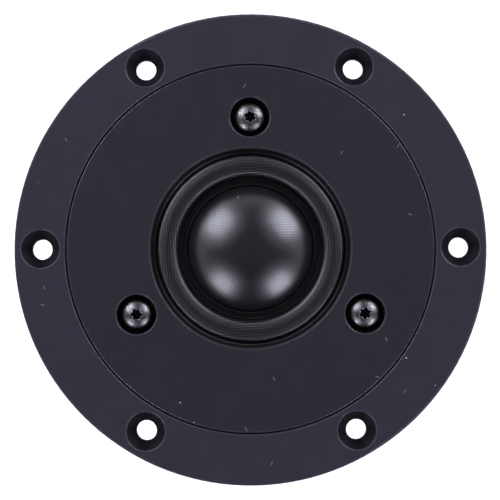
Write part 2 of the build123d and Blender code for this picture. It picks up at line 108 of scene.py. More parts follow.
# Cloth of the dome and surround
WEAVE_PITCH = 0.42 * MM
WEAVE_ANGLE = math.radians(41)
WEAVE_HEIGHT = 0.018 * MM
DOME_GRID = 300
SURROUND_SEGMENTS = 360
THREADS = (0.15, 0.95)  # weave heights of the gaps and of the threads' tops
CLOTH_WALL = 0.35 * MM  # dome and surround
COAT_ROUGHNESS = 0.24
# Painted shade in the valley where the dome meets the surround
DOME_SHADE_RADII = (11.4 * MM, 12.7 * MM)  # painted shade towards the dome's rim: the sheen fades and the colour darkens between these radii
SURROUND_SHADE_RADII = (16.2 * MM, 15.7 * MM)
DULL_SHARE = 0.3  # of the sheen, left beyond them as painted shade
SHOULDERS = ((19.6 * MM, 20.2 * MM), (17.3 * MM, 16.6 * MM))  # smoother and shinier past these
SHOULDER_GLOSS = 1.7  # times the sheen
SHOULDER_SMOOTH = -0.06  # added to the roughness
OUTLINE_ANGLE = math.radians(17)  # where round the axis the surround's outline is read
SURROUND_FIXED_R = 20.7 * MM  # the surround flexes between these

COIL_TURNS = 12
LEAD_STEPS = 40
LIP_BEAD_R = 21.30 * MM  # sealing bead on the surround's outer lip
LEAD_TWIST = 1 / 6.5  # turns of the strands per step
STRAND_R = 0.075 * MM
SOLDER_SIZE = (0.70 * MM, 0.85 * MM, 0.36 * MM)  # half its width, length and height

# Short hairs of dust on the face
FIBRE_W = 0.20 * MM
FIBRE_THIN = 0.20  # width over length
FIBRE_TINT = 0.26  # how strongly they show
FIBRE_TURNS = (0.5, 1.9, 2.7)  # their directions, radians

RECESS_R = 51.3 * MM  # the front's holes and pockets lie inside this
RECESS_SHADE = 0.3  # painted shade: how much of the colour and gloss is left in them

# Linear colours
RING_BLACK = (0.0115, 0.0122, 0.0175)
PLATE_BLACK = (0.0062, 0.0068, 0.0098)
SCREW_BLACK = (0.105, 0.105, 0.105)
CLOTH_BLACK = (0.0072, 0.0074, 0.0085)
SURROUND_BLACK = (0.0040, 0.0040, 0.0052)
FOAM_BLACK = (0.014, 0.014, 0.015)
PLASTIC_BLACK = (0.012, 0.012, 0.0135)
STEEL_BLACK = (0.016, 0.016, 0.018)
STEEL = (0.45, 0.45, 0.46)
NICKEL = (0.50, 0.485, 0.45)
TIN = (0.46, 0.46, 0.445)
COPPER = (0.75, 0.36, 0.20)
ENAMEL = (0.42, 0.13, 0.05)
FOIL = (0.70, 0.70, 0.72)
FELT_GREY = (0.13, 0.13, 0.135)
WOOL_GREY = (0.30, 0.30, 0.29)
EPOXY = (0.030, 0.022, 0.014)
GLUE_BLACK = (0.016, 0.014, 0.011)
SEALANT_GREY = (0.10, 0.10, 0.105)
SOLDER = (0.60, 0.60, 0.62)
PAINT_RED = (0.45, 0.012, 0.010)
LINT = (0.32, 0.32, 0.34)
RIM_HIGHLIGHT_GREY = (0.14, 0.14, 0.16)  # painted highlight along the anodised edges
# Painted highlight along the screws' edges
SCREW_EDGE_HIGHLIGHT = (0.55, 0.55, 0.57)
# Painted highlight along the plastic's edges
PLASTIC_EDGE_HIGHLIGHT = (0.04, 0.04, 0.045)
WORN_STEEL = (0.22, 0.22, 0.23)
PALE = (0.80, 0.80, 0.80)


# ---- materials ------------------------------------------------------------------------------


class Look:
    """A material being built: one Principled shader, with heights and tints added step by step."""

    def __init__(self, name, colour, roughness, metallic=0.0, **inputs):
        self.material = bpy.data.materials.new(name)
        self.material.use_nodes = True
        self.tree = self.material.node_tree
        self.shader = self.tree.nodes["Principled BSDF"]
        self.place = self.node("ShaderNodeTexCoord").outputs["Object"]
        self.colour = self.node("ShaderNodeRGB").outputs[0]
        self.colour.default_value = (*colour, 1)
        self.roughness = self.number(roughness)
        self.normal = None
        self.fill(self.shader, {"Metallic": metallic, **inputs})

    def fill(self, node, inputs):
        for name, value in inputs.items():
            if isinstance(value, bpy.types.NodeSocket):
                self.tree.links.new(value, node.inputs[name])
            elif value is not None:
                node.inputs[name].default_value = value

    def node(self, kind, inputs=(), **settings):
        node = self.tree.nodes.new(kind)
        for name, value in settings.items():
            setattr(node, name, value)
        self.fill(node, dict(inputs))
        return node

    def number(self, value):
        socket = self.node("ShaderNodeValue").outputs[0]
        socket.default_value = value
        return socket

    def math(self, operation, a, b=0.5):
        return self.node("ShaderNodeMath", {0: a, 1: b}, operation=operation).outputs[0]

    def stretched(self, stretch=(1, 1, 1), turn=0.0):
        """The place, turned about Z and then stretched."""
        turned_place = self.place
        if turn:
            inputs = {"Vector": self.place, "Rotation": (0, 0, turn)}
            turned_place = self.node("ShaderNodeMapping", inputs).outputs[0]
        return self.node("ShaderNodeMapping", {"Vector": turned_place, "Scale": stretch}).outputs[0]

    def noise(self, size, detail=2.0, stretch=(1, 1, 1)):
        """Cloudy noise, 0 to 1, with lumps about size across."""
        inputs = {"Vector": self.stretched(stretch), "Scale": 1 / size, "Detail": detail}
        return self.node("ShaderNodeTexNoise", inputs).outputs["Fac"]

    def cells(self, size, stretch=(1, 1, 1), turn=0.0, **settings):
        inputs = {"Vector": self.stretched(stretch, turn), "Scale": 1 / size}
        return self.node("ShaderNodeTexVoronoi", inputs, **settings)

    def between(self, value, low, high, to_low=0.0, to_high=1.0):
        """Value, clamped between low and high, as a number from to_low to to_high."""
        inputs = {
            "Value": value,
            "From Min": low,
            "From Max": high,
            "To Min": to_low,
            "To Max": to_high,
        }
        return self.node("ShaderNodeMapRange", inputs).outputs[0]

    def from_axis(self):
        """Distance from the Z axis."""
        axes = self.node("ShaderNodeSeparateXYZ", {0: self.place}).outputs
        squares = [self.math("POWER", axes[name], 2.0) for name in "XY"]
        return self.math("SQRT", self.math("ADD", *squares))

    def bump(self, height, depth, strength=1.0):
        """Adds a height pattern, depth metres deep, to the surface."""
        inputs = {"Height": height, "Distance": depth, "Strength": strength, "Normal": self.normal}
        self.normal = self.node("ShaderNodeBump", inputs).outputs[0]

    def ease(self, radius):
        """Rounds sharp edges in the shading."""
        self.normal = self.node("ShaderNodeBevel", {"Radius": radius}, samples=4).outputs[0]

    def edges(self, radius):
        """1 near a sharp edge, else 0."""
        soft = self.node("ShaderNodeBevel", {"Radius": radius}, samples=4).outputs[0]
        flat = self.node("ShaderNodeNewGeometry").outputs["Normal"]
        dot = self.node("ShaderNodeVectorMath", {0: soft, 1: flat}, operation="DOT_PRODUCT")
        return self.between(dot.outputs["Value"], 0.99, 0.93)

    def open_sky(self, distance):
        """1 on open ground, falling towards 0 in holes and corners within that distance."""
        return self.node("ShaderNodeAmbientOcclusion", {"Distance": distance}, samples=8).outputs["AO"]

    def facing_up(self):
        """1 on faces that look along +Z, else 0."""
        normal = self.node("ShaderNodeNewGeometry").outputs["Normal"]
        return self.between(self.node("ShaderNodeSeparateXYZ", {0: normal}).outputs["Z"], 0.9, 0.95)

    def some(self, cells, share):
        """1 in a share of the cells, picked at random, else 0."""
        pick = self.node("ShaderNodeSeparateColor", {0: cells.outputs["Color"]}).outputs[0]
        return self.between(pick, 1 - share, 1 - share + 0.01)

    def tint(self, colour, share):
        """Mixes a colour in, as far as share says."""
        mix = self.node("ShaderNodeMix", data_type="RGBA")
        self.tree.links.new(self.colour, mix.inputs[6])
        self.fill(mix, {0: share, 7: (*colour, 1)})
        self.colour = mix.outputs[2]

    def shade(self, amount):
        """Multiplies the colour by a number."""
        mix = self.node("ShaderNodeVectorMath", {0: self.colour}, operation="SCALE")
        self.fill(mix, {"Scale": amount})
        self.colour = mix.outputs[0]

    def rough(self, change):
        """Adds a number to the roughness."""
        self.roughness = self.math("ADD", self.roughness, change)

    def done(self):
        wanted = {"Base Color": self.colour, "Roughness": self.roughness, "Normal": self.normal}
        for name, socket in wanted.items():
            if socket is not None:
                self.tree.links.new(socket, self.shader.inputs[name])
        return self.material


def cad_front_z():
    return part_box("mounting_ring")[1].z


def add_lint(look, size, share):
    """Sparse pale specks of dust."""
    cell = look.cells(size)
    small = look.between(cell.outputs["Distance"], 0.065, 0.035)
    look.tint(LINT, look.math("MULTIPLY", small, look.some(cell, share)))


def add_fibres(look, size, share):
    """A few short pale hairs lying on upward faces, pointing several ways."""
    for turn in FIBRE_TURNS:
        cell = look.cells(size, (1, FIBRE_THIN, 1), turn, voronoi_dimensions="2D")
        edge = FIBRE_W / 2 / size
        near = look.between(cell.outputs["Distance"], 1.3 * edge, 0.7 * edge)
        hair = look.math("MULTIPLY", near, look.some(cell, share))
        strength = look.math("MULTIPLY", look.facing_up(), FIBRE_TINT)
        look.tint(LINT, look.math("MULTIPLY", hair, strength))


def recess(look):
    """1 inside the front's holes and pockets, below its face, else 0."""
    height = look.node("ShaderNodeSeparateXYZ", {0: look.place}).outputs["Z"]
    front_z = cad_front_z()
    below = look.between(height, front_z - 0.2 * MM, front_z - 0.6 * MM)
    above = look.between(height, 0.2 * MM, 0.5 * MM)
    within = look.between(look.from_axis(), RECESS_R + 0.2 * MM, RECESS_R)
    return look.math("MULTIPLY", look.math("MULTIPLY", below, above), within)


def anodised(name, colour, roughness):
    """Blasted aluminium, dyed black: fine grain, faint clouding, painted highlights on the rims, painted
    shade in the holes and pockets.
    """
    look = Look(name, colour, roughness)
    look.ease(0.18 * MM)
    look.shade(look.between(look.noise(9 * MM, 4), 0.3, 0.7, 0.93, 1.07))
    look.shade(look.between(look.noise(0.35 * MM, 3), 0.3, 0.7, 0.88, 1.12))
    # Painted highlight: the rims are tinted lighter and made smoother, and further down glossier too
    rims = look.edges(0.11 * MM)
    look.tint(RIM_HIGHLIGHT_GREY, look.math("MULTIPLY", rims, 0.5))
    look.rough(look.math("MULTIPLY", rims, -0.24))
    # Painted shade in the holes and pockets below the face: colour and gloss darkened there
    painted_recess_shade = look.between(recess(look), 0, 1, 1.0, RECESS_SHADE)
    look.shade(painted_recess_shade)
    gloss = look.between(rims, 0, 1, 0.25, 1.0)
    look.fill(look.shader, {"Specular IOR Level": look.math("MULTIPLY", gloss, painted_recess_shade)})
    add_lint(look, 3.1 * MM, 0.06)
    add_fibres(look, 9 * MM, 0.25)
    look.bump(look.noise(0.16 * MM, 2), 0.010 * MM)
    look.bump(look.noise(0.5 * MM, 2), 0.006 * MM)
    look.rough(look.between(look.noise(4 * MM, 4), 0.3, 0.7, -0.03, 0.03))
    return look.done()


def black_zinc():
    """Black-plated steel screw: dark metal with a slightly uneven gloss, painted highlights on its edges
    and painted shade in its socket and round its head.
    """
    look = Look("black_zinc", SCREW_BLACK, 0.35, metallic=1.0)
    look.ease(0.09 * MM)
    # Painted highlight: edges tinted lighter
    look.tint(SCREW_EDGE_HIGHLIGHT, look.math("MULTIPLY", look.edges(0.16 * MM), 0.7))
    look.shade(look.between(look.noise(0.5 * MM, 4), 0.35, 0.65, 0.6, 1.35))
    # Painted shade in the socket and round the head, darker the more closed in a point is
    look.shade(look.between(look.open_sky(2.6 * MM), 0.40, 0.78, 0.05, 1.0))
    look.bump(look.noise(0.3 * MM, 3), 0.012 * MM)
    look.rough(look.between(look.noise(0.6 * MM, 3), 0.3, 0.7, -0.08, 0.10))
    return look.done()


def weave_height(look, pitch):
    """Plain weave, seen along Z: crossing threads, one over, one under."""
    place = look.stretched((math.pi / pitch,) * 3, WEAVE_ANGLE)
    axes = look.node("ShaderNodeSeparateXYZ", {0: place}).outputs
    across = look.math("SINE", axes["X"])
    along = look.math("SINE", axes["Y"])
    crossing = look.math("MULTIPLY", across, along)
    ridges = look.math("ADD", look.math("ABSOLUTE", across), look.math("ABSOLUTE", along))
    return look.math("ADD", look.math("MULTIPLY", crossing, 0.25), look.math("MULTIPLY", ridges, 0.5))


def coated_cloth(name, colour, finish, weave_depth, valley_radii, dull_shade, shoulders=()):
    """Fine woven cloth under a soft black coating, with painted shade past the valley radii: less sheen
    and a darker colour towards the valley between dome and surround.

    finish is its roughness, its coat and its sheen. It is smoother and shinier past the shoulders.
    """
    roughness, coat, sheen = finish
    look = Look(name, colour, roughness, **{"Coat Roughness": COAT_ROUGHNESS})
    # Painted shade in the valley between dome and surround: sheen and colour fall off past the valley
    # radii
    share = look.between(look.from_axis(), *valley_radii, 1.0, DULL_SHARE)
    look.shade(look.math("MAXIMUM", share, dull_shade))
    threads = weave_height(look, WEAVE_PITCH)
    share = look.math("MULTIPLY", share, look.between(threads, *THREADS, 0.25, 1.35))
    for shoulder in shoulders:
        gloss = look.between(look.from_axis(), *shoulder, 1.0, SHOULDER_GLOSS)
        share = look.math("MULTIPLY", share, gloss)
    look.fill(look.shader, {"Coat Weight": look.math("MULTIPLY", share, coat)})
    look.fill(look.shader, {"Specular IOR Level": look.math("MULTIPLY", share, sheen)})
    # Painted shade in the gaps between the threads, lighter on their tops
    look.shade(look.between(threads, *THREADS, 0.5, 1.3))
    look.shade(look.between(look.noise(3 * MM, 3), 0.3, 0.7, 0.92, 1.08))
    add_lint(look, 2.6 * MM, 0.05)
    look.bump(threads, weave_depth)
    for shoulder in shoulders:
        look.rough(look.between(look.from_axis(), *shoulder, 0.0, SHOULDER_SMOOTH))
    look.bump(look.noise(0.12 * MM, 2), 0.004 * MM)
    look.rough(look.between(look.noise(0.8 * MM, 3), 0.3, 0.7, -0.04, 0.05))
    return look.done()


def foam(name, colour, cell):
    """Closed-cell foam with open skin: small pits, with painted shade in them."""
    look = Look(name, colour, 0.9)
    pits = look.cells(cell)
    # Painted shade: darker in the middle of each pit
    look.shade(look.between(pits.outputs["Distance"], 0.1, 0.8, 0.6, 1.3))
    look.bump(pits.outputs["Distance"], 0.08 * MM)
    look.bump(look.noise(cell / 2, 3), 0.02 * MM)
    return look.done()


def felt(name, colour, fibre):
    """Matted fibres lying three ways."""
    look = Look(name, colour, 0.95, **{"Sheen Weight": 0.4, "Sheen Roughness": 0.5})
    for stretch in ((1, 0.12, 1), (0.12, 1, 1), (0.6, 0.6, 0.12)):
        threads = look.noise(fibre, 3, stretch)
        look.shade(look.between(threads, 0.3, 0.7, 0.75, 1.25))
        look.bump(threads, 0.05 * MM)
    return look.done()


def moulded(name, colour, roughness):
    """Black moulded plastic with a fine spark texture and painted highlights along its edges."""
    look = Look(name, colour, roughness, **{"Specular IOR Level": 0.35})
    look.ease(0.15 * MM)
    look.shade(look.between(look.noise(7 * MM, 4), 0.3, 0.7, 0.94, 1.06))
    # Painted highlight: edges tinted lighter
    look.tint(PLASTIC_EDGE_HIGHLIGHT, look.math("MULTIPLY", look.edges(0.2 * MM), 0.35))
    look.bump(look.noise(0.22 * MM, 2), 0.020 * MM)
    look.bump(look.noise(3 * MM, 2), 0.03 * MM)
    look.rough(look.between(look.noise(1.5 * MM, 4), 0.3, 0.7, -0.05, 0.05))
    return look.done()


def coated_steel():
    """Steel plate in thin black coating, thinner along its edges."""
    look = Look("coated_steel", STEEL_BLACK, 0.42, metallic=0.3)
    look.ease(0.15 * MM)
    worn = look.math("MULTIPLY", look.edges(0.22 * MM), look.between(look.noise(1.2 * MM, 4), 0.4, 0.65))
    look.tint(WORN_STEEL, worn)
    look.shade(look.between(look.noise(5 * MM, 4), 0.3, 0.7, 0.9, 1.1))
    look.bump(look.noise(0.7 * MM, 3), 0.015 * MM)
    look.rough(look.between(look.noise(2 * MM, 4), 0.3, 0.7, -0.08, 0.08))
    add_lint(look, 3.5 * MM, 0.05)
    return look.done()


def turned_metal(name, colour, roughness):
    """Bare metal with fine lathe rings about Z."""
    look = Look(name, colour, roughness, metallic=1.0)
    look.ease(0.10 * MM)
    height = look.node("ShaderNodeSeparateXYZ", {0: look.place}).outputs["Z"]
    rings = look.node("ShaderNodeCombineXYZ", {"X": look.from_axis(), "Y": height}).outputs[0]
    grooves = look.node("ShaderNodeTexNoise", {"Vector": rings, "Scale": 1 / (0.12 * MM), "Detail": 3.0})
    look.bump(grooves.outputs["Fac"], 0.006 * MM)
    look.shade(look.between(look.noise(3 * MM, 4), 0.3, 0.7, 0.9, 1.08))
    look.rough(look.between(look.noise(2 * MM, 4), 0.3, 0.7, -0.05, 0.08))
    return look.done()


def plated(name, colour, roughness, grain):
    """Plated metal: faint streaks, spots and an uneven gloss."""
    look = Look(name, colour, roughness, metallic=1.0)
    look.ease(0.08 * MM)
    look.shade(look.between(look.noise(1.4 * MM, 4), 0.3, 0.7, 0.86, 1.08))
    streaks = look.noise(0.2 * MM, 3, grain)
    look.bump(streaks, 0.0015 * MM)
    spots = look.between(look.noise(0.5 * MM, 2), 0.66, 0.72)
    look.rough(look.math("MULTIPLY", spots, 0.2))
    look.rough(look.between(streaks, 0.3, 0.7, -0.06, 0.08))
    return look.done()


def copper_wire(name, colour, coat):
    """Wire: drawn copper, or enamelled copper under a clear coat."""
    look = Look(name, colour, 0.28, metallic=0.9, **{"Coat Weight": coat, "Coat Roughness": 0.12})
    look.shade(look.between(look.noise(0.8 * MM, 3), 0.3, 0.7, 0.82, 1.12))
    look.bump(look.noise(0.05 * MM, 2), 0.003 * MM)
    return look.done()


def glossy_drop(name, colour, roughness, metallic=0.0):
    """Cured glue, paint or solder: smooth, a little uneven, with fine dust in it."""
    look = Look(name, colour, roughness, metallic=metallic)
    look.shade(look.between(look.noise(0.5 * MM, 3), 0.3, 0.7, 0.85, 1.15))
    look.bump(look.noise(0.3 * MM, 2), 0.02 * MM)
    look.rough(look.between(look.noise(0.25 * MM, 3), 0.5, 0.75, 0.0, 0.12))
    return look.done()


def label_foil():
    """Blank satin foil with fine brushing."""
    look = Look("label_foil", FOIL, 0.34, metallic=0.9)
    look.bump(look.noise(0.10 * MM, 3, (1, 0.03, 1)), 0.004 * MM)
    look.shade(look.between(look.noise(6 * MM, 4), 0.3, 0.7, 0.93, 1.05))
    look.rough(look.between(look.noise(2.5 * MM, 4), 0.3, 0.7, -0.05, 0.08))
    return look.done()


def pale_floor():
    """Plain white sweep, a little brighter than its light."""
    look = Look("pale_floor", PALE, 0.8)
    look.shade(look.between(look.noise(0.4, 3), 0.3, 0.7, 0.985, 1.0))
    look.fill(look.shader, {"Emission Color": (1, 1, 1, 1), "Emission Strength": FLOOR_GLOW})
    return look.done()


def make_materials():
    """Every material, by name."""
    cloth = (CLOTH_BLACK, (0.21, 0.40, 0.44), 0.028 * MM, DOME_SHADE_RADII, 0.9)
    roll = (SURROUND_BLACK, (0.38, 0.0, 0.42), 0.050 * MM, SURROUND_SHADE_RADII, 0.45, SHOULDERS)
    return {
        "ring": anodised("ring_anodised", RING_BLACK, 0.56),
        "plate": anodised("plate_anodised", PLATE_BLACK, 0.58),
        "screw": black_zinc(),
        "dome": coated_cloth("dome_cloth", *cloth),
        "surround": coated_cloth("surround_cloth", *roll),
        "foam": foam("foam", FOAM_BLACK, 0.30 * MM),
        "felt": felt("felt", FELT_GREY, 0.25 * MM),
        "wool": felt("wool", WOOL_GREY, 0.40 * MM),
        "plastic": moulded("plastic", PLASTIC_BLACK, 0.48),
        "chamber": moulded("chamber_plastic", PLASTIC_BLACK, 0.55),
        "steel": coated_steel(),
        "pole": turned_metal("turned_steel", STEEL, 0.32),
        "copper": turned_metal("copper_cap", COPPER, 0.30),
        "former": plated("former_foil", FOIL, 0.35, (1, 1, 0.05)),
        "nickel": plated("nickel", NICKEL, 0.24, (1, 1, 0.05)),
        "tin": plated("tin", TIN, 0.30, (1, 1, 0.05)),
        "coil": copper_wire("enamelled_wire", ENAMEL, 0.6),
        "tinsel": copper_wire("tinsel", COPPER, 0.0),
        "epoxy": glossy_drop("epoxy", EPOXY, 0.22),
        "glue": glossy_drop("black_glue", GLUE_BLACK, 0.28),
        "sealant": glossy_drop("grey_sealant", SEALANT_GREY, 0.30),
        "solder": glossy_drop("solder", SOLDER, 0.22, metallic=1.0),
        "paint": glossy_drop("red_paint", PAINT_RED, 0.25),
        "label": label_foil(),
    }


LOOK_OF_NODE = {
    "mounting_ring": "ring",
    "front_plate": "plate",
    "front_screws": "screw",
    "chamber_screws": "screw",
    "terminal_positive": "tin",
    "terminal_negative": "tin",
    "terminal_block": "plastic",
    "diaphragm_ring": "plastic",
    "magnet_carrier": "plastic",
    "rear_chamber": "chamber",
    "top_plate": "steel",
    "bottom_plate": "steel",
    "pole_piece": "pole",
    "pole_cap": "copper",
    "coil_former": "former",
    "rear_label": "label",
    "polarity_dot": "paint",
    "magnet_1": "nickel",
    "magnet_2": "nickel",
    "magnet_3": "nickel",
    "magnet_4": "nickel",
    "magnet_5": "nickel",
    "magnet_6": "nickel",
}


# ---- mesh helpers ---------------------------------------------------------------------------


def add_piece(name, points, faces, material, smooth_below=40):
    """A mesh object from points and faces, smooth except across edges sharper than an angle."""
    mesh = bpy.data.meshes.new(name)
    mesh.from_pydata([tuple(p) for p in points], [], [tuple(f) for f in faces])
    mesh.validate()
    mesh.update()
    mesh.shade_smooth()
    mesh.set_sharp_from_angle(angle=math.radians(smooth_below))
    mesh.materials.append(material)
    piece = bpy.data.objects.new(name, mesh)
    bpy.context.scene.collection.objects.link(piece)
    return piece


def turned(outline, segments, centre=(0, 0), wobble=None):
    """Points and faces of a closed outline (radius, z) turned about an upright axis.

    wobble(angle) gives a factor on the distance from the outline's middle, for uneven beads.
    """
    outline = np.array(outline, float)
    middle = outline.mean(axis=0)
    points = []
    for i in range(segments):
        angle = 2 * math.pi * i / segments
        swell = wobble(angle) if wobble else 1.0
        for radius, z in middle + (outline - middle) * swell:
            x = centre[0] + radius * math.cos(angle)
            points.append((x, centre[1] + radius * math.sin(angle), z))
    count = len(outline)
    faces = []
    for i in range(segments):
        for k in range(count):
            here, there = i * count, (i + 1) % segments * count
            after = (k + 1) % count
            faces.append((here + k, there + k, there + after, here + after))
    return points, faces


def joined(parts):
    """Several (points, faces) as one."""
    points, faces = [], []
    for some_points, some_faces in parts:
        start = len(points)
        points += some_points
        faces += [tuple(start + i for i in face) for face in some_faces]
    return points, faces


def tube(line, radius, sides):
    """Points and faces of a closed-ended tube along a line of points."""
    points, faces = [], []
    line = [Vector(p) for p in line]
    for i, here in enumerate(line):
        ahead = (line[min(i + 1, len(line) - 1)] - line[max(i - 1, 0)]).normalized()
        side = ahead.cross(Vector((0, 0, 1))).normalized()
        up = side.cross(ahead)
        for k in range(sides):
            turn = 2 * math.pi * k / sides
            points.append(here + radius * (math.cos(turn) * side + math.sin(turn) * up))
    for i in range(len(line) - 1):
        for k in range(sides):
            a, b = i * sides + k, i * sides + (k + 1) % sides
            faces.append((a, a + sides, b + sides, b))
    faces.append(tuple(range(sides)))
    faces.append(tuple(reversed(range(len(points) - sides, len(points)))))
    return points, faces


def lump(centre, size, seed):
    """Points and faces of a smooth, slightly uneven drop."""
    ball = bmesh.new()
    bmesh.ops.create_icosphere(ball, subdivisions=4, radius=1)
    places = np.array([v.co for v in ball.verts])
    faces = [[v.index for v in face.verts] for face in ball.faces]
    ball.free()
    swell = 1 + 0.10 * waves(places, 1.3, seed)
    return places * swell[:, None] * size + np.array(centre), faces


def radii(node):
    """Inner and outer radius and low and high z of a CAD node about the Z axis."""
    places = [v.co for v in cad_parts[node].data.vertices]
    from_axis = [math.hypot(p.x, p.y) for p in places]
    low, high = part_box(node)
    return min(from_axis), max(from_axis), low.z, high.z


def stand_in(piece, node, body="chassis"):
    """piece replaces a CAD node, which is hidden, and rides on its body."""
    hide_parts(node)
    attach(piece, body)


def waves(points, length, seed, count=24):
    """A smooth random height, about -1 to 1, at each point: waves of about that length."""
    rng = np.random.default_rng(seed)
    points = np.asarray(points, float)
    total = np.zeros(len(points))
    for _ in range(count):
        direction = rng.normal(size=3)
        direction /= np.linalg.norm(direction)
        pace = 2 * math.pi / length * rng.uniform(0.6, 1.6)
        total += np.sin(points @ direction * pace + rng.uniform(0, 2 * math.pi))
    return total / math.sqrt(count / 2) / 2


# ---- soft parts -----------------------------------------------------------------------------


def soft_copy(node, name, material, voxel, lump_depth, lump_length, seed):
    """A CAD foam or felt solid with rounded edges and an uneven surface, as its own mesh."""
    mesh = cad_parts[node].data.copy()
    mesh.name = name
    shape = bmesh.new()
    shape.from_mesh(mesh)
    bmesh.ops.remove_doubles(shape, verts=shape.verts, dist=0.001 * MM)
    shape.to_mesh(mesh)
    shape.free()
    piece = bpy.data.objects.new(name, mesh)
    bpy.context.scene.collection.objects.link(piece)
    remesh = piece.modifiers.new("remesh", "REMESH")
    remesh.mode = "VOXEL"
    remesh.voxel_size = voxel
    smooth = piece.modifiers.new("smooth", "SMOOTH")
    smooth.factor = 0.5
    smooth.iterations = 3
    evaluated = piece.evaluated_get(bpy.context.evaluated_depsgraph_get())
    final = bpy.data.meshes.new_from_object(evaluated)
    piece.modifiers.clear()
    piece.data = final
    bpy.data.meshes.remove(mesh)
    places = np.array([v.co for v in final.vertices])
    normals = np.array([v.normal for v in final.vertices])
    heights = waves(places, lump_length, seed) - 1.0
    final.vertices.foreach_set("co", (places + normals * (heights * lump_depth)[:, None]).ravel())
    final.materials.clear()
    final.materials.append(material)
    final.update()
    final.shade_smooth()
    return piece


# CAD node, material, slot, voxel, depth and length of the lumps in mm, and how firm it is
SOFT_SOLIDS = (
    ("flange_gasket", "foam", "foam_black", 0.26, 0.020, 1.6, 1.0),
    ("front_gasket", "foam", "foam_black", 0.17, 0.015, 1.2, 1.0),
    ("chamber_gasket", "foam", "foam_black", 0.22, 0.020, 1.6, 1.0),
    ("vent_foam", "foam", "foam_black", 0.20, 0.060, 1.4, 0.9),
    ("pole_felt", "felt", "felt_grey", 0.20, 0.035, 1.1, 0.9),
    ("chamber_wool", "wool", "felt_grey", 0.40, 0.450, 5.0, 0.6),
)


def build_soft_solids(looks):
    for seed, (node, look, slot, voxel, depth, length, fill) in enumerate(SOFT_SOLIDS):
        sizes = (voxel * MM, depth * MM, length * MM)
        piece = soft_copy(node, node + "_soft", looks[look], *sizes, seed)
        stand_in(piece, node)


def weave(x, y):
    """Height of the plain weave over the plane, about -1 to 1."""
    pace = math.pi / WEAVE_PITCH
    u = pace * (x * math.cos(WEAVE_ANGLE) - y * math.sin(WEAVE_ANGLE))
    v = pace * (x * math.sin(WEAVE_ANGLE) + y * math.cos(WEAVE_ANGLE))
    return 0.25 * np.sin(u) * np.sin(v) + 0.5 * (abs(np.sin(u)) + abs(np.sin(v))) - 0.6


def disc_grid(count):
    """A square grid of count by count points laid over the unit disc without a pole."""
    line = np.linspace(-1, 1, count)
    a, b = np.meshgrid(line, line)
    wide = abs(a) > abs(b)
    radius = np.where(wide, a, b)
    with np.errstate(divide="ignore", invalid="ignore"):
        small = np.where(wide, b / a, a / b) * math.pi / 4
    small = np.nan_to_num(small)
    angle = np.where(wide, small, math.pi / 2 - small)
    return (radius * np.cos(angle)).ravel(), (radius * np.sin(angle)).ravel()


def grid_rim(count):
    """Places of the rim's points in disc_grid, in order round it."""
    last = count - 1
    bottom = [i for i in range(last)]
    right = [i * count + last for i in range(last)]
    top = [last * count + i for i in range(last, 0, -1)]
    left = [i * count for i in range(last, 0, -1)]
    return bottom + right + top + left


def build_dome(looks):
    """The woven cap: real threads on its front, a smooth inside, and a pressed rim."""
    _, rim_r, base_z, top_z = radii("dome")
    height = top_z - base_z
    ball_r = (rim_r**2 + height**2) / (2 * height)
    x, y = (rim_r * c for c in disc_grid(DOME_GRID))
    r = np.hypot(x, y)
    fade = np.clip((rim_r - r) / (0.8 * MM), 0, 1)
    lift = WEAVE_HEIGHT * weave(x, y) * fade - WEAVE_HEIGHT
    z = top_z - ball_r + np.sqrt(ball_r**2 - r**2) + lift
    outer = np.stack([x, y, z], axis=1)
    rim = grid_rim(DOME_GRID)
    faces = []
    for row in range(DOME_GRID - 1):
        for column in range(DOME_GRID - 1):
            a = row * DOME_GRID + column
            faces.append((a, a + 1, a + DOME_GRID + 1, a + DOME_GRID))
    points = [tuple(p) for p in outer]
    loops = [rim]
    inner_ball = ball_r - CLOTH_WALL
    centre_z = top_z - ball_r
    inner_edge = math.sqrt(inner_ball**2 - (base_z - centre_z) ** 2)
    for share in (1.0, 0.94, 0.8, 0.6, 0.35, 0.1):
        radius = inner_edge * share
        level = centre_z + math.sqrt(inner_ball**2 - radius**2)
        start = len(points)
        for i in rim:
            angle = math.atan2(y[i], x[i])
            points.append((radius * math.cos(angle), radius * math.sin(angle), level))
        loops.append(list(range(start, len(points))))
    for above, below in zip(loops, loops[1:]):
        for k in range(len(rim)):
            after = (k + 1) % len(rim)
            faces.append((above[k], below[k], below[after], above[after]))
    faces.append(tuple(reversed(loops[-1])))
    piece = add_piece("dome_skin", points, faces, looks["dome"], 60)
    stand_in(piece, "dome", "diaphragm")


def skin_profile(node, inner_r, outer_r, step):
    """Top and bottom heights of a turned CAD node between two radii, read off its own mesh."""
    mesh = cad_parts[node].data
    tree = BVHTree.FromPolygons(
        [v.co for v in mesh.vertices], [tuple(p.vertices) for p in mesh.polygons]
    )
    top, bottom = [], []
    for r in np.arange(inner_r, outer_r, step):
        x, y = r * math.cos(OUTLINE_ANGLE), r * math.sin(OUTLINE_ANGLE)
        down = tree.ray_cast(Vector((x, y, 1)), Vector((0, 0, -1)))[0]
        up = tree.ray_cast(Vector((x, y, -1)), Vector((0, 0, 1)))[0]
        if down is not None and up is not None:
            top.append((r, down.z))
            bottom.append((r, up.z))
    return top, bottom


def evened(line, step):
    """The same line with its points step apart."""
    line = np.array(line)
    lengths = np.hypot(*np.diff(line, axis=0).T)
    along = np.concatenate([[0], np.cumsum(lengths)])
    wanted = np.linspace(0, along[-1], max(2, int(along[-1] / step)))
    return np.stack([np.interp(wanted, along, line[:, k]) for k in (0, 1)], axis=1)


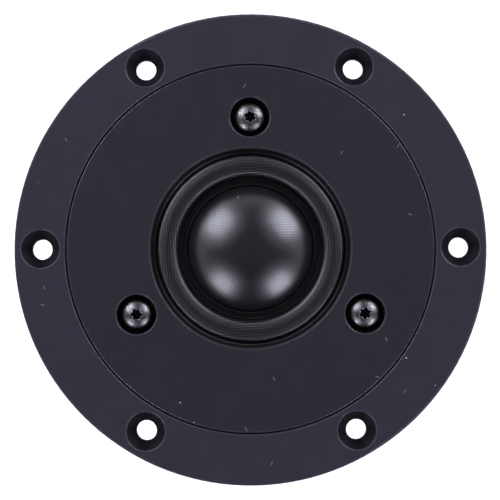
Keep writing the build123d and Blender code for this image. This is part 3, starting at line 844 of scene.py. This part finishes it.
def build_surround(looks):
    """The textile roll, read off the CAD surround, with a faint sag inside its fixed outer lip."""
    inner_r, outer_r, _, _ = radii("surround")
    margin = 0.01 * MM
    top, bottom = skin_profile("surround", inner_r + margin, outer_r - margin, 0.02 * MM)
    outline = [*evened(top, 0.12 * MM), *evened(bottom, 0.3 * MM)[::-1]]
    points, faces = turned(outline, SURROUND_SEGMENTS)
    points = np.array(points)
    sag = waves(points, 9 * MM, 31) * 0.015 * MM
    inside = SURROUND_FIXED_R - np.hypot(points[:, 0], points[:, 1])
    free = np.clip(inside / (2 * MM), 0, 1)
    points[:, 2] += sag * free
    piece = add_piece("surround_roll", points, [f[::-1] for f in faces], looks["surround"], 60)
    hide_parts("surround")
    flex_in_rings(piece)


def flex_in_rings(piece):
    """Bakes a ring-shaped piece's placement into its points."""
    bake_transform(piece)


# ---- coil and leads -------------------------------------------------------------------------


def build_winding(looks):
    """Two layers of round wire, packed turn on turn."""
    inner_r, outer_r, low, high = radii("voice_coil")
    wire = (high - low) / COIL_TURNS
    half = wire / 2
    bulge = [math.radians(a) for a in (-60, -30, 0, 30, 60)]
    outside, inside = [], []
    for turn in range(COIL_TURNS):
        z = low + half + turn * wire
        for a in bulge:
            outside.append((outer_r - half + half * math.cos(a), z + half * math.sin(a)))
            inside.append((inner_r + half - half * math.cos(a), z + half * math.sin(a)))
    points, faces = turned(outside + inside[::-1], 120)
    piece = add_piece("winding", points, [f[::-1] for f in faces], looks["coil"])
    stand_in(piece, "voice_coil", "diaphragm")


def lead_line(node, count):
    """The middle of a CAD lead: an arc through the node's own points."""
    places = np.array([v.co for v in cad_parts[node].data.vertices])
    order = np.argsort(np.hypot(places[:, 0], places[:, 1]))
    groups = np.array_split(places[order], count)
    return [Vector(g.mean(axis=0)) for g in groups]


def build_leads(looks):
    """Tinsel leads: three strands twisted together, soldered to the lugs."""
    for name in ("positive", "negative"):
        node = "coil_lead_" + name
        centre = lead_line(node, LEAD_STEPS)
        parts = []
        for strand in range(3):
            line = []
            for i, here in enumerate(centre):
                after, before = min(i + 1, LEAD_STEPS - 1), max(i - 1, 0)
                ahead = (centre[after] - centre[before]).normalized()
                side = ahead.cross(Vector((0, 0, 1))).normalized()
                turn = 2 * math.pi * (strand / 3 + i * LEAD_TWIST)
                up = side.cross(ahead)
                line.append(here + STRAND_R * (math.cos(turn) * side + math.sin(turn) * up))
            parts.append(tube(line, STRAND_R * 0.95, 8))
        piece = add_piece("tinsel_" + name, *joined(parts), looks["tinsel"])
        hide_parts(node)
        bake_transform(piece)
        lug_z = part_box("terminal_" + name)[1].z
        place = Vector((centre[-1].x, centre[-1].y, lug_z + 0.08 * MM))
        joint = add_piece("solder_" + name, *lump(place, SOLDER_SIZE, 7), looks["solder"], 180)
        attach(joint, "chassis")


# ---- glue -----------------------------------------------------------------------------------


def uneven(seed, depth):
    """A smooth random factor about 1, all the way round."""
    rng = np.random.default_rng(seed)
    terms = [(n, rng.uniform(-1, 1), rng.uniform(0, 2 * math.pi)) for n in (2, 3, 5, 8, 13)]
    return lambda angle: 1 + depth * sum(s * math.sin(n * angle + p) for n, s, p in terms) / 2


def bead(radius, z, width, height, seed, centre=(0, 0), segments=96):
    """A rounded bead of glue round an upright axis, its middle at that radius and height."""
    steps = [2 * math.pi * k / 10 for k in range(10)]
    outline = [(radius + width / 2 * math.cos(a), z + height / 2 * math.sin(a)) for a in steps]
    points, faces = turned(outline, segments, centre, uneven(seed, 0.25))
    return points, [f[::-1] for f in faces]


def build_glue(looks):
    """Beads where magnets meet plates and where the dome meets the surround's collar."""
    for place in ("front", "rear"):
        parts = []
        for number in range(1, 7):
            low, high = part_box(f"magnet_{number}")
            middle, size = (low + high) / 2, (high - low) / 2
            z = high.z - 0.10 * MM if place == "front" else low.z + 0.10 * MM
            seed = number + (10 if place == "front" else 20)
            spot = (middle.x, middle.y)
            parts.append(bead(size.x + 0.02 * MM, z, 0.45 * MM, 0.20 * MM, seed, spot))
        piece = add_piece("magnet_glue_" + place, *joined(parts), looks["epoxy"])
        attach(piece, "chassis")
    _, rim_r, base_z, _ = radii("dome")
    points, faces = bead(rim_r + 0.26 * MM, base_z + 0.42 * MM, 0.16 * MM, 0.20 * MM, 5, segments=360)
    piece = add_piece("dome_glue", points, faces, looks["glue"])
    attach(piece, "diaphragm")
    lip_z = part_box("front_gasket")[0].z
    points, faces = bead(LIP_BEAD_R, lip_z + 0.06 * MM, 0.26 * MM, 0.28 * MM, 6, segments=360)
    piece = add_piece("lip_glue", points, faces, looks["sealant"])
    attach(piece, "chassis")


# ---- stage, light and camera ----------------------------------------------------------------


def build_floor():
    floor_z = cad_bounds[0].z
    points, faces = [(0, 0, floor_z)], []
    count = 64
    for i in range(count):
        angle = 2 * math.pi * i / count
        points.append((FLOOR_R * math.cos(angle), FLOOR_R * math.sin(angle), floor_z))
        faces.append((0, i + 1, (i + 1) % count + 1))
    floor = add_piece("floor", points, faces, pale_floor())


def build_world():
    """Pale surroundings, bright at the horizon and dark overhead, like a tent open at its top."""
    world = bpy.data.worlds.new("studio")
    bpy.context.scene.world = world
    world.use_nodes = True
    tree = world.node_tree
    place = tree.nodes.new("ShaderNodeTexCoord").outputs["Generated"]
    axes = tree.nodes.new("ShaderNodeSeparateXYZ")
    ramp = tree.nodes.new("ShaderNodeValToRGB")
    ends = ramp.color_ramp.elements
    for height, brightness in SURROUNDINGS[1:-1]:
        ends.new(height).color = (brightness, brightness, brightness, 1)
    for end, (height, brightness) in ((ends[0], SURROUNDINGS[0]), (ends[-1], SURROUNDINGS[-1])):
        end.color = (brightness, brightness, brightness, 1)
    tree.links.new(place, axes.inputs[0])
    tree.links.new(axes.outputs["Z"], ramp.inputs[0])
    side = tree.nodes.new("ShaderNodeMapRange")
    side.inputs["From Min"].default_value, side.inputs["From Max"].default_value = DARK_SIDE
    side.inputs["To Min"].default_value = DARK_SIDE_SHARE
    tree.links.new(axes.outputs["Y"], side.inputs["Value"])
    tree.links.new(side.outputs[0], tree.nodes["Background"].inputs["Strength"])
    tree.links.new(ramp.outputs[0], tree.nodes["Background"].inputs["Color"])


def point_at(thing, place, target, roll=0.0):
    """Puts a lamp or camera at place, looking at target, turned about its own line of sight."""
    turn = (target - place).to_track_quat("-Z", "Y").to_matrix().to_4x4()
    thing.matrix_world = Matrix.Translation(place) @ turn @ Matrix.Rotation(roll, 4, "Z")


def build_lights():
    for number, (around, off_axis, watts, size) in enumerate(SOFT_BOXES, start=1):
        lamp = bpy.data.lights.new(f"soft_box_{number}", "AREA")
        lamp.shape = "SQUARE"
        lamp.size = size
        lamp.energy = watts
        lamp.color = SOFT_BOX_COLOUR
        thing = bpy.data.objects.new(lamp.name, lamp)
        bpy.context.scene.collection.objects.link(thing)
        a, e = math.radians(around), math.radians(off_axis)
        away = Vector((math.sin(e) * math.cos(a), math.sin(e) * math.sin(a), math.cos(e)))
        point_at(thing, away * SOFT_BOX_DISTANCE, Vector())


def build_camera():
    camera = bpy.data.cameras.new("camera")
    camera.lens = LENS_MM
    camera.sensor_width = SENSOR_MM
    camera.clip_start = 10 * MM
    thing = bpy.data.objects.new("camera", camera)
    bpy.context.scene.collection.objects.link(thing)
    target = Vector((0, 0, cad_front_z())) + VIEW_AIM
    back = Vector((0, -math.sin(VIEW_TILT), math.cos(VIEW_TILT)))
    point_at(thing, target + back * VIEW_DISTANCE, target, VIEW_ROLL)
    bpy.context.scene.camera = thing


def paint_cad(looks):
    """Gives each CAD node that stays in view its material."""
    for node, look in LOOK_OF_NODE.items():
        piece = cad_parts[node]
        for place in piece.material_slots:
            place.material = looks[look]


bpy.context.scene.view_settings.view_transform = "Standard"
looks = make_materials()
paint_cad(looks)
build_soft_solids(looks)
build_dome(looks)
build_surround(looks)
build_winding(looks)
build_leads(looks)
build_glue(looks)
build_floor()
build_world()
build_lights()
build_camera()
